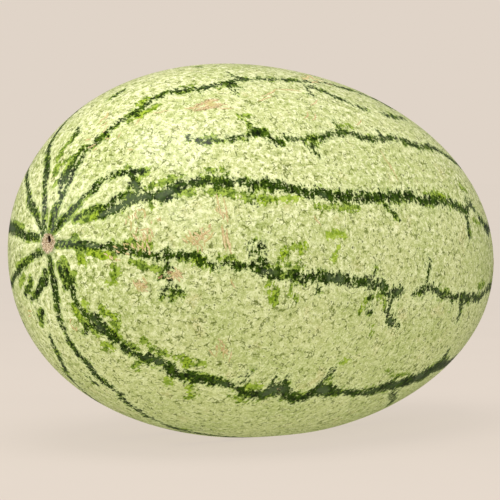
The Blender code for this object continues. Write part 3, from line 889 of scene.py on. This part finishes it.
def rind_material(props):
    """Waxy rind, built up from the ground to the two ends."""
    material = bpy.data.materials.new("watermelon_rind")
    g = Graph(material)
    place = g.node("ShaderNodeTexCoord").outputs["Object"]
    flow = g.attribute("flow", "Vector")
    ground, broad, grain, fine_value, fine_colour = pale_ground(g, props, place, flow)
    ground, vein_line = vein_net(g, ground, place, fine_colour)
    ground = dark_dots(g, ground, place, fine_colour)
    colour, dark_mask = striped(g, props, ground, place, flow, fine_value)
    colour, cork_mask = corky_patches(g, colour, place, grain)
    colour, scar_mask = blossom_end(g, colour, place, grain)
    colour, ring = stem_end(g, colour, place, grain)
    corky = g.math("MAXIMUM", g.math("MAXIMUM", cork_mask, scar_mask), ring)
    roughness = g.ramp(fine_value, 0.3, 0.7, 0.36, 0.46)
    roughness = g.math("ADD", roughness, g.math("MULTIPLY", corky, 0.34))
    roughness = g.math("SUBTRACT", roughness, g.math("MULTIPLY", dark_mask, 0.05))
    height = g.math("ADD", g.math("MULTIPLY", fine_value, 0.35), g.math("MULTIPLY", broad, 0.6))
    height = g.math("SUBTRACT", height, g.math("MULTIPLY", vein_line, 0.25))
    height = g.math("SUBTRACT", height, g.math("MULTIPLY", dark_mask, 0.12))
    height = g.math("ADD", height, g.math("MULTIPLY", g.math("MULTIPLY", corky, grain), 1.6))
    g.finish(colour, roughness, height, 0.00035, coat=props.gloss)
    return material


def cork_material():
    """Healed cork of the scratches, browner at the sides of each ridge."""
    material = bpy.data.materials.new("healed_cork")
    g = Graph(material)
    place = g.node("ShaderNodeTexCoord").outputs["Object"]
    grain = g.noise(place, 900.0, 2.0, 0.6)[0]
    fade = g.noise(place, 220.0, 2.0, 0.5)[0]
    colour = g.mix(g.ramp(grain, 0.35, 0.65), srgb(226, 210, 166), srgb(186, 160, 112))
    colour = g.mix(g.ramp(g.attribute("rim"), 0.4, 0.9), colour, srgb(144, 118, 72))
    colour = g.mix(g.ramp(fade, 0.46, 0.66, 0.0, 0.6), colour, srgb(182, 174, 104))
    g.finish(colour, g.ramp(grain, 0.3, 0.7, 0.62, 0.82), grain, 0.0002)
    return material


def stub_material():
    """Dry, fibrous stem with a pored cut face."""
    material = bpy.data.materials.new("dry_stem_stub")
    g = Graph(material)
    place = g.node("ShaderNodeTexCoord").outputs["Object"]
    fibre = g.attribute("fibre", "Vector")
    cut = g.attribute("cut_face")
    threads = g.noise(g.stretched(fibre, (1.0, 9.0, 9.0)), 130.0, 3.0, 0.6)[0]
    blotch = g.noise(place, 260.0, 3.0, 0.6)[0]
    colour = g.mix(g.ramp(threads, 0.36, 0.64), srgb(176, 158, 98), srgb(98, 84, 46))
    colour = g.mix(g.ramp(blotch, 0.46, 0.66, 0.0, 0.7), colour, srgb(120, 128, 62))
    pores = g.cells(place, 1500.0, "F1").outputs["Distance"]
    face = g.mix(g.ramp(pores, 0.2, 0.6), srgb(112, 84, 46), srgb(206, 182, 132))
    face = g.mix(g.ramp(blotch, 0.42, 0.68, 0.0, 0.6), face, srgb(134, 100, 62))
    colour = g.mix(g.ramp(cut, 0.35, 0.65), colour, face)
    g.finish(colour, g.ramp(threads, 0.3, 0.7, 0.6, 0.82), threads, 0.0006)
    return material


def floor_material(props):
    """Matt pale sheet that glows a little, so it stays even under the fruit."""
    material = bpy.data.materials.new("studio_sheet")
    g = Graph(material)
    place = g.node("ShaderNodeTexCoord").outputs["Object"]
    weave = g.noise(place, 7.0, 2.0, 0.5)[0]
    tone = tuple(props.sheet)
    softer = (tone[0] * 0.99, tone[1] * 0.99, tone[2] * 0.99, 1.0)
    colour = g.mix(g.ramp(weave, 0.3, 0.7), tone, softer)
    matt = g.node("ShaderNodeBsdfDiffuse")
    g.feed(matt.inputs["Color"], colour)
    glow = g.node("ShaderNodeEmission")
    rays = g.node("ShaderNodeLightPath")
    bounced = g.mix(rays.outputs["Is Glossy Ray"], srgb(250, 250, 226), srgb(70, 72, 62))
    g.feed(glow.inputs["Color"], g.mix(rays.outputs["Is Camera Ray"], bounced, colour))
    glow.inputs["Strength"].default_value = props.sheet_glow
    blend = g.node("ShaderNodeMixShader")
    far = g.node("ShaderNodeVectorMath", operation="LENGTH")
    g.feed(far.inputs[0], place)
    g.feed(blend.inputs[0], g.ramp(far.outputs["Value"], 0.5, 1.4, props.sheet_share, 1.0))
    g.tree.links.new(matt.outputs[0], blend.inputs[1])
    g.tree.links.new(glow.outputs[0], blend.inputs[2])
    output = g.node("ShaderNodeOutputMaterial")
    g.tree.links.new(blend.outputs[0], output.inputs["Surface"])
    return material


# ---------------------------------------------------------------- mesh helpers
def fresh_sphere(name, segments, rings):
    """Adds a unit ball with its poles along Z and nothing else selected."""
    if bpy.context.object and bpy.context.object.mode != "OBJECT":
        bpy.ops.object.mode_set(mode="OBJECT")
    bpy.ops.object.select_all(action="DESELECT")
    bpy.ops.mesh.primitive_uv_sphere_add(segments=segments, ring_count=rings, radius=1.0, calc_uvs=True)
    piece = bpy.context.object
    piece.name = name
    piece.data.name = name
    return piece


def read_points(mesh):
    """Vertex places as rows of three."""
    points = np.empty(len(mesh.vertices) * 3, dtype=np.float64)
    mesh.vertices.foreach_get("co", points)
    return points.reshape(-1, 3)


def write_points(mesh, points):
    mesh.vertices.foreach_set("co", np.ascontiguousarray(points, dtype=np.float32).ravel())
    mesh.update()


def write_float(mesh, name, values):
    layer = mesh.attributes.new(name, "FLOAT", "POINT")
    layer.data.foreach_set("value", np.ascontiguousarray(values, dtype=np.float32))


def write_vector(mesh, name, values):
    layer = mesh.attributes.new(name, "FLOAT_VECTOR", "POINT")
    layer.data.foreach_set("vector", np.ascontiguousarray(values, dtype=np.float32).ravel())


def outward_faces(piece):
    """Turns every face outward and shades the piece smooth."""
    bpy.ops.object.select_all(action="DESELECT")
    piece.select_set(True)
    bpy.context.view_layer.objects.active = piece
    bpy.ops.object.mode_set(mode="EDIT")
    bpy.ops.mesh.select_all(action="SELECT")
    bpy.ops.mesh.normals_make_consistent(inside=False)
    bpy.ops.object.mode_set(mode="OBJECT")
    bpy.ops.object.shade_smooth()


def ring_angles(count):
    """Angles from the blossom for evenly numbered rings, closer together at both ends."""
    t = np.linspace(0.0, 180.0, 3601)
    density = 1.0 + 5.5 * np.exp(-t / 3.0) + 2.2 * np.exp(-(180.0 - t) / 4.5)
    run = np.concatenate([[0.0], np.cumsum((density[1:] + density[:-1]) / 2.0)])
    return np.interp(np.linspace(0.0, run[-1], count + 1), run, t)


# ---------------------------------------------------------------- settings
class WatermelonRindProps(bpy.types.PropertyGroup):
    segments: bpy.props.IntProperty(
        name="Segments", description="Mesh columns round the fruit", default=420, min=48)
    rings: bpy.props.IntProperty(
        name="Rings", description="Mesh rings from the blossom end to the stem", default=234, min=24)
    pale: bpy.props.FloatVectorProperty(
        name="Pale ground", description="Yellowish ground colour between the stripes",
        subtype="COLOR", size=4, min=0.0, max=1.0, default=srgb(201, 206, 144))
    pale_green: bpy.props.FloatVectorProperty(
        name="Green ground", description="Greener clouds in the ground colour",
        subtype="COLOR", size=4, min=0.0, max=1.0, default=srgb(184, 194, 124))
    stripe: bpy.props.FloatVectorProperty(
        name="Stripe", description="Lighter green inside the dark stripes",
        subtype="COLOR", size=4, min=0.0, max=1.0, default=srgb(50, 76, 2))
    stripe_deep: bpy.props.FloatVectorProperty(
        name="Deep stripe", description="Darkest green of the stripes",
        subtype="COLOR", size=4, min=0.0, max=1.0, default=srgb(10, 20, 0))
    # Painted sheen: this grey is both the stripes' waxy bloom and a painted highlight sheen on them.
    bloom_and_sheen: bpy.props.FloatVectorProperty(
        name="Wax bloom", description="Grey-green wax on the middles of wide stripes",
        subtype="COLOR", size=4, min=0.0, max=1.0, default=srgb(92, 106, 76))
    gloss: bpy.props.FloatProperty(
        name="Gloss", description="Weight of the clear waxy coat", default=0.34, min=0.0, max=1.0)


class WatermelonStubProps(bpy.types.PropertyGroup):
    sides: bpy.props.IntProperty(
        name="Sides", description="Mesh columns round the stub", default=160, min=24)
    rings: bpy.props.IntProperty(
        name="Rings", description="Mesh rings from the foot to the cut", default=120, min=16)


class WatermelonStageProps(bpy.types.PropertyGroup):
    azimuth: bpy.props.FloatProperty(
        name="Azimuth", description="Side the camera looks from, to the left of straight ahead",
        default=math.radians(45.11), subtype="ANGLE")
    elevation: bpy.props.FloatProperty(
        name="Elevation", description="Height of the camera above level",
        default=math.radians(2.5), subtype="ANGLE")
    distance: bpy.props.FloatProperty(
        name="Distance", description="Camera to the middle of the fruit",
        default=1.36, min=0.1, unit="LENGTH")
    lens: bpy.props.FloatProperty(
        name="Lens", description="Focal length in millimetres on a 36 mm sensor", default=161.3)
    aim_left: bpy.props.FloatProperty(
        name="Aim left", description="How far left of the fruit's middle the camera aims",
        default=0.0089, unit="LENGTH")
    aim_up: bpy.props.FloatProperty(
        name="Aim up", description="How far above the fruit's middle the camera aims",
        default=0.0042, unit="LENGTH")
    sheet: bpy.props.FloatVectorProperty(
        name="Sheet", description="Colour of the plain floor",
        subtype="COLOR", size=4, min=0.0, max=1.0, default=srgb(224, 212, 200))
    sheet_glow: bpy.props.FloatProperty(
        name="Sheet glow", description="Strength of the floor's own light", default=1.0)
    sheet_share: bpy.props.FloatProperty(
        name="Glow share", description="Share of own light against reflected light", default=0.86)
    key_power: bpy.props.FloatProperty(
        name="Key light", description="Power of the big soft light", default=9.6, unit="POWER")
    fill_strength: bpy.props.FloatProperty(
        name="Surround", description="Strength of the even light all round", default=0.74)


# ---------------------------------------------------------------- operators
class WATERMELON_OT_rind(bpy.types.Operator):
    """Grow the fruit with its stripes, scars and puckered ends"""
    bl_idname = "watermelon.rind"
    bl_label = "Rind"

    def execute(self, context):
        props = context.scene.watermelon_rind
        rind = fresh_sphere("rind", props.segments, props.rings)
        mesh = rind.data
        ball = read_points(mesh)
        level = np.clip(ball[:, 2], -1.0, 1.0)
        even = np.degrees(np.arccos(-level)) / 180.0 * props.rings
        t = np.radians(np.interp(even, np.arange(props.rings + 1), ring_angles(props.rings)))
        a = np.arctan2(ball[:, 1], ball[:, 0])
        points = placed(rind_point(t, a))
        write_points(mesh, points)
        mesh.uv_layers[0].name = "OFBake"

        random = np.random.default_rng(RIND_SEED)
        spurs = grown_spurs(random)
        moss, lime = grown_patches(random)
        write_float(mesh, "dark_edge", edge_field(points, STRIPES + spurs, STRIPE_SWELL))
        write_float(mesh, "moss_edge", edge_field(points, MOSS + moss, MOSS_SWELL))
        write_float(mesh, "lime_edge", edge_field(points, LIME + lime, LIME_SWELL))
        write_float(mesh, "cork_edge", edge_field(points, CORK, 0.0))
        write_float(mesh, "wax_and_sheen_edge", edge_field(points, WAX_AND_SHEEN, 0.0))
        radius, station = plain_point(t)[1:]
        table_t = np.radians(np.linspace(0.0, 180.0, 721))
        table = rind_point(table_t, np.zeros_like(table_t))
        run = np.concatenate([[0.0], np.cumsum(np.linalg.norm(np.diff(table, axis=0), axis=1))])
        length = np.interp(t, table_t, run)
        write_vector(mesh, "flow", np.stack([length, radius * np.cos(a), radius * np.sin(a)], axis=-1))
        sunward = smoothstep((points[:, 2] - 0.045) / 0.13)
        ends = smoothstep((radius - 0.020) / 0.070)
        write_float(mesh, "mottle", 0.50 + 0.50 * np.maximum(sunward, 1.0 - ends))
        write_float(mesh, "calm", 0.15 + 0.85 * smoothstep((radius - 0.016) / 0.072))
        near_blossom = np.exp(-((np.degrees(t) / 46.0) ** 2))
        write_float(mesh, "streaky", 0.12 + 0.88 * near_blossom + 0.2 * sunward)
        write_float(mesh, "blossom_mm", np.where(station < 0.0, radius * 1000.0, 200.0))
        write_float(mesh, "stem_mm", np.where(station > 0.0, radius * 1000.0, 200.0))
        up, side = radius * np.cos(a), radius * np.sin(a)
        write_float(mesh, "pit", np.where(station < 0.0, pit_share(up, side, 0.0019, 0.0014), 0.0))
        outward_faces(rind)
        mesh.materials.clear()
        mesh.materials.append(rind_material(props))
        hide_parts("fruit")
        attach(rind, "root")
        return {"FINISHED"}


# Section of a corky ridge: share of the half width, height in metres; the last point is buried.
RIDGE = [
    (-1.0, -0.00008), (-0.55, 0.00010), (0.0, 0.00016),
    (0.55, 0.00010), (1.0, -0.00008), (0.0, -0.0003),
]
# A healed scratch spreads to this many times its own width, and is drawn with a row each 0.7 mm.
RIDGE_SPREAD = 3.1
RIDGE_STEP = 0.7
MM_PER_LONG_DEGREE = 2.4


def ribbon(t, a, half_width, random, points, faces):
    """One low corky ridge along a path on the rind, closed and sunk into it."""
    centre = placed(rind_point(t, a))
    normal = rind_normal(t, a)
    ahead = np.gradient(centre, axis=0)
    ahead /= np.linalg.norm(ahead, axis=1, keepdims=True)
    side = np.cross(normal, ahead)
    share = np.linspace(0.0, 1.0, len(t))
    taper = np.sin(np.pi * np.clip(share, 0.02, 0.98)) ** 0.45
    width = half_width * 0.001 * taper * random.uniform(0.55, 1.25, len(t))
    base = len(points)
    for row in range(len(t)):
        for across, height in RIDGE:
            lift = height * (0.4 + 0.6 * taper[row])
            spot = centre[row] + side[row] * (width[row] * across) + normal[row] * lift
            points.append(tuple(spot))
    count = len(RIDGE)
    for row in range(len(t) - 1):
        for column in range(count):
            first = base + row * count + column
            second = base + row * count + (column + 1) % count
            faces.append((first, second, second + count, first + count))
    faces.append(tuple(base + column for column in reversed(range(count))))
    last = base + (len(t) - 1) * count
    faces.append(tuple(last + column for column in range(count)))


def scab_strokes(random):
    """Short crossing strokes scattered over the rubbed spots."""
    strokes = []
    for t, a, reach, count, heading, long in RUBBED:
        mm_a = mm_per_round_degree(t)
        for _ in range(count):
            start_t = t + random.normal(0.0, 0.5) * reach / MM_PER_LONG_DEGREE
            start_a = a + random.normal(0.0, 0.5) * reach / mm_a
            turn = math.radians(heading + random.uniform(-40.0, 40.0))
            run = long * random.uniform(0.6, 1.4)
            end_t = start_t + run * math.cos(turn) / MM_PER_LONG_DEGREE
            end_a = start_a + run * math.sin(turn) / mm_a
            half_width = random.uniform(0.16, 0.26)
            bend = random.uniform(-0.5, 0.5) * run / 3.0
            strokes.append((start_t, start_a, end_t, end_a, half_width, bend))
    return strokes


class WATERMELON_OT_scratches(bpy.types.Operator):
    """Lay the healed scratches on the rind as low corky ridges"""
    bl_idname = "watermelon.scratches"
    bl_label = "Corky scratches"

    def execute(self, context):
        random = np.random.default_rng(SCRATCH_SEED)
        points, faces = [], []
        for start_t, start_a, end_t, end_a, half_width, bend in SCRATCHES + scab_strokes(random):
            mm_t = MM_PER_LONG_DEGREE
            mm_a = mm_per_round_degree(start_t)
            long = math.hypot((end_t - start_t) * mm_t, (end_a - start_a) * mm_a)
            count = max(6, int(long / RIDGE_STEP))
            share = np.linspace(0.0, 1.0, count)
            t = start_t + (end_t - start_t) * share
            a = start_a + (end_a - start_a) * share
            bow = bend * np.sin(np.pi * share) + 0.18 * np.cumsum(random.normal(0.0, 1.0, count))
            bow -= share * bow[-1]
            t = t - bow * (end_a - start_a) * mm_a / long / mm_t
            a = a + bow * (end_t - start_t) * mm_t / long / mm_a
            ribbon(np.radians(t), np.radians(a), half_width * RIDGE_SPREAD, random, points, faces)
        mesh = bpy.data.meshes.new("cork_scratches")
        mesh.from_pydata(points, [], faces)
        mesh.update()
        outness = np.abs([across for across, height in RIDGE])
        write_float(mesh, "rim", np.tile(outness, len(points) // len(RIDGE)))
        scratches = bpy.data.objects.new("cork_scratches", mesh)
        context.scene.collection.objects.link(scratches)
        outward_faces(scratches)
        mesh.materials.append(cork_material())
        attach(scratches, "root")
        return {"FINISHED"}


class WATERMELON_OT_stub(bpy.types.Operator):
    """Shape the dry, ridged stem stub with its cut end"""
    bl_idname = "watermelon.stub"
    bl_label = "Stem stub"

    def execute(self, context):
        props = context.scene.watermelon_stub
        stub = fresh_sphere("dry_stub", props.sides, props.rings)
        mesh = stub.data
        ball = read_points(mesh)
        row = np.degrees(np.arccos(np.clip(-ball[:, 2], -1.0, 1.0))) / 180.0
        a = np.arctan2(ball[:, 1], ball[:, 0])
        foot_share = np.clip(row / FOOT_ROWS, 0.0, 1.0)
        side_share = np.clip((row - FOOT_ROWS) / (1.0 - FOOT_ROWS - CUT_ROWS), 0.0, 1.0)
        face_share = np.clip((row - 1.0 + CUT_ROWS) / CUT_ROWS, 0.0, 1.0)
        flare = STUB_FOOT_RADIUS - STUB_RADIUS
        radius = STUB_RADIUS + flare * (1.0 - smoothstep(side_share / 0.45))
        radius += (STUB_CUT_RADIUS - STUB_RADIUS) * smoothstep((side_share - 0.55) / 0.45)
        ridge = np.cos(STUB_RIDGES * a + 0.8 * side_share)
        radius *= 1.0 - STUB_RIDGE_DEPTH + STUB_RIDGE_DEPTH * ridge
        fibre = np.sin(31.0 * a + 2.0 * np.sin(5.0 * side_share + a)) * np.cos(17.0 * a - 3.0 * side_share)
        radius += 0.00013 * fibre * smoothstep(side_share / 0.1)
        radius += 0.00012 * np.sin(60.0 * side_share + 2.0 * np.sin(3.0 * a))
        radius *= foot_share ** 0.9
        edge = smoothstep(face_share / 0.12)
        radius *= 1.0 - 0.06 * edge
        radius *= 1.0 - np.clip((face_share - 0.06) / 0.94, 0.0, 1.0)
        place = side_share * (STUB_LENGTH - 0.0006)
        ragged = 0.00022 * np.sin(9.0 * a + 1.2) + 0.00016 * np.sin(23.0 * a)
        place += 0.0003 * edge + ragged * smoothstep((side_share - 0.8) / 0.2) * (1.0 - 0.5 * face_share)
        rough = 0.00018 * np.sin(19.0 * a + 14.0 * face_share) * np.sin(30.0 * face_share)
        dish = 0.0011 * smoothstep(face_share) * (face_share > 0.0)
        place = place - dish + rough * np.sin(np.pi * face_share)
        share = np.clip(place / STUB_LENGTH, 0.0, 1.0)
        foot = pole_height(SEAT_RADIUS, 1) - DIMPLE_DEPTH
        x = foot + place
        y = -radius * np.sin(a)
        z = radius * np.cos(a) + STUB_BEND * share ** 2
        tilted = np.stack([x * math.cos(TILT) + z * math.sin(TILT), y,
                           -x * math.sin(TILT) + z * math.cos(TILT)], axis=-1)
        write_points(mesh, tilted + SHIFT)
        write_vector(mesh, "fibre", np.stack([place, 0.005 * np.cos(a), 0.005 * np.sin(a)], axis=-1))
        write_float(mesh, "cut_face", smoothstep((face_share - 0.02) / 0.06))
        outward_faces(stub)
        mesh.materials.clear()
        mesh.materials.append(stub_material())
        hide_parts("stem_stub")
        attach(stub, "root")
        return {"FINISHED"}


FRUIT_MIDDLE = Vector(tuple(SHIFT))
LAMP_TINT = (1.0, 0.965, 0.93)
SURROUND_TINT = (1.0, 0.985, 0.96, 1.0)
GLOSS_DIM = 0.85


def soft_surround(scene, props):
    """Even light all round, dimmer in the waxy gloss, with the floor's colour behind the fruit."""
    world = bpy.data.worlds.new("soft_surround")
    world.use_nodes = True
    backing = world.node_tree.nodes["Background"]
    backing.inputs["Color"].default_value = tuple(props.sheet)
    backing.inputs["Strength"].default_value = 1.0
    scene.world = world
    tree = world.node_tree
    rays = tree.nodes.new("ShaderNodeLightPath")
    light = tree.nodes.new("ShaderNodeBackground")
    light.inputs["Color"].default_value = SURROUND_TINT
    dim = tree.nodes.new("ShaderNodeMath")
    dim.operation = "MULTIPLY_ADD"
    dim.inputs[1].default_value = -GLOSS_DIM * props.fill_strength
    dim.inputs[2].default_value = props.fill_strength
    tree.links.new(rays.outputs["Is Glossy Ray"], dim.inputs[0])
    tree.links.new(dim.outputs[0], light.inputs["Strength"])
    blend = tree.nodes.new("ShaderNodeMixShader")
    tree.links.new(rays.outputs["Is Camera Ray"], blend.inputs[0])
    tree.links.new(light.outputs[0], blend.inputs[1])
    tree.links.new(backing.outputs[0], blend.inputs[2])
    tree.links.new(blend.outputs[0], tree.nodes["World Output"].inputs["Surface"])


def soft_light(scene, name, spot, axes, size, power):
    """A round area lamp aimed at the fruit, placed by metres to the right, up and near."""
    data = bpy.data.lights.new(name, "AREA")
    data.shape = "DISK"
    data.size = size
    data.energy = power
    data.color = LAMP_TINT
    lamp = bpy.data.objects.new(name, data)
    scene.collection.objects.link(lamp)
    right, up, toward = axes
    lamp.location = FRUIT_MIDDLE + right * spot[0] + up * spot[1] + toward * spot[2]
    lamp.rotation_euler = (FRUIT_MIDDLE - lamp.location).to_track_quat("-Z", "Y").to_euler()
    lamp.visible_camera = False


class WATERMELON_OT_stage(bpy.types.Operator):
    """Lay the floor, hang the lights and set the camera"""
    bl_idname = "watermelon.stage"
    bl_label = "Stage"

    def execute(self, context):
        props = context.scene.watermelon_stage
        scene = context.scene
        bpy.ops.object.select_all(action="DESELECT")
        bpy.ops.mesh.primitive_circle_add(vertices=96, radius=14.0, fill_type="TRIFAN", location=(0, 0, 0))
        sheet = context.object
        sheet.name = "studio_sheet"
        sheet.data.materials.append(floor_material(props))

        soft_surround(scene, props)

        toward = Vector((-math.sin(props.azimuth) * math.cos(props.elevation),
                         -math.cos(props.azimuth) * math.cos(props.elevation),
                         math.sin(props.elevation)))
        right = Vector((math.cos(props.azimuth), -math.sin(props.azimuth), 0.0))
        up = toward.cross(right)
        axes = (right, up, toward)
        lens = bpy.data.cameras.new("view_camera")
        lens.sensor_width = 36.0
        lens.lens = props.lens
        camera = bpy.data.objects.new("view_camera", lens)
        scene.collection.objects.link(camera)
        camera.location = FRUIT_MIDDLE + toward * props.distance
        aim = FRUIT_MIDDLE - right * props.aim_left + up * props.aim_up
        camera.rotation_euler = (aim - camera.location).to_track_quat("-Z", "Y").to_euler()
        scene.camera = camera

        power = props.key_power
        soft_light(scene, "key_light", (0.12, 0.92, 2.00), axes, 0.8, power)
        soft_light(scene, "top_light", (-0.15, 2.0, 0.70), axes, 1.4, power * 3.0)
        soft_light(scene, "left_light", (-1.7, 0.5, 0.15), axes, 1.2, power * 0.95)
        scene.view_settings.view_transform = "Standard"
        return {"FINISHED"}


class WATERMELON_PT_sidebar(bpy.types.Panel):
    """Sizes and colours of the watermelon"""
    bl_idname = "WATERMELON_PT_sidebar"
    bl_label = "Striped Watermelon"
    bl_space_type = "VIEW_3D"
    bl_region_type = "UI"
    bl_category = "Watermelon"

    def draw(self, context):
        layout = self.layout
        scene = context.scene
        for title, props, operator in (
            ("Rind", scene.watermelon_rind, "watermelon.rind"),
            ("Scratches", None, "watermelon.scratches"),
            ("Stem stub", scene.watermelon_stub, "watermelon.stub"),
            ("Stage", scene.watermelon_stage, "watermelon.stage"),
        ):
            box = layout.box()
            box.label(text=title)
            if props is not None:
                for name in props.__annotations__:
                    box.prop(props, name)
            box.operator(operator)


CLASSES = (
    WatermelonRindProps,
    WatermelonStubProps,
    WatermelonStageProps,
    WATERMELON_OT_rind,
    WATERMELON_OT_scratches,
    WATERMELON_OT_stub,
    WATERMELON_OT_stage,
    WATERMELON_PT_sidebar,
)


def register():
    for cls in CLASSES:
        bpy.utils.register_class(cls)
    bpy.types.Scene.watermelon_rind = bpy.props.PointerProperty(type=WatermelonRindProps)
    bpy.types.Scene.watermelon_stub = bpy.props.PointerProperty(type=WatermelonStubProps)
    bpy.types.Scene.watermelon_stage = bpy.props.PointerProperty(type=WatermelonStageProps)


def unregister():
    del bpy.types.Scene.watermelon_stage
    del bpy.types.Scene.watermelon_stub
    del bpy.types.Scene.watermelon_rind
    for cls in reversed(CLASSES):
        bpy.utils.unregister_class(cls)


def main():
    register()
    bpy.ops.watermelon.rind()
    bpy.ops.watermelon.scratches()
    bpy.ops.watermelon.stub()
    bpy.ops.watermelon.stage()


if __name__ == "__main__":
    main()
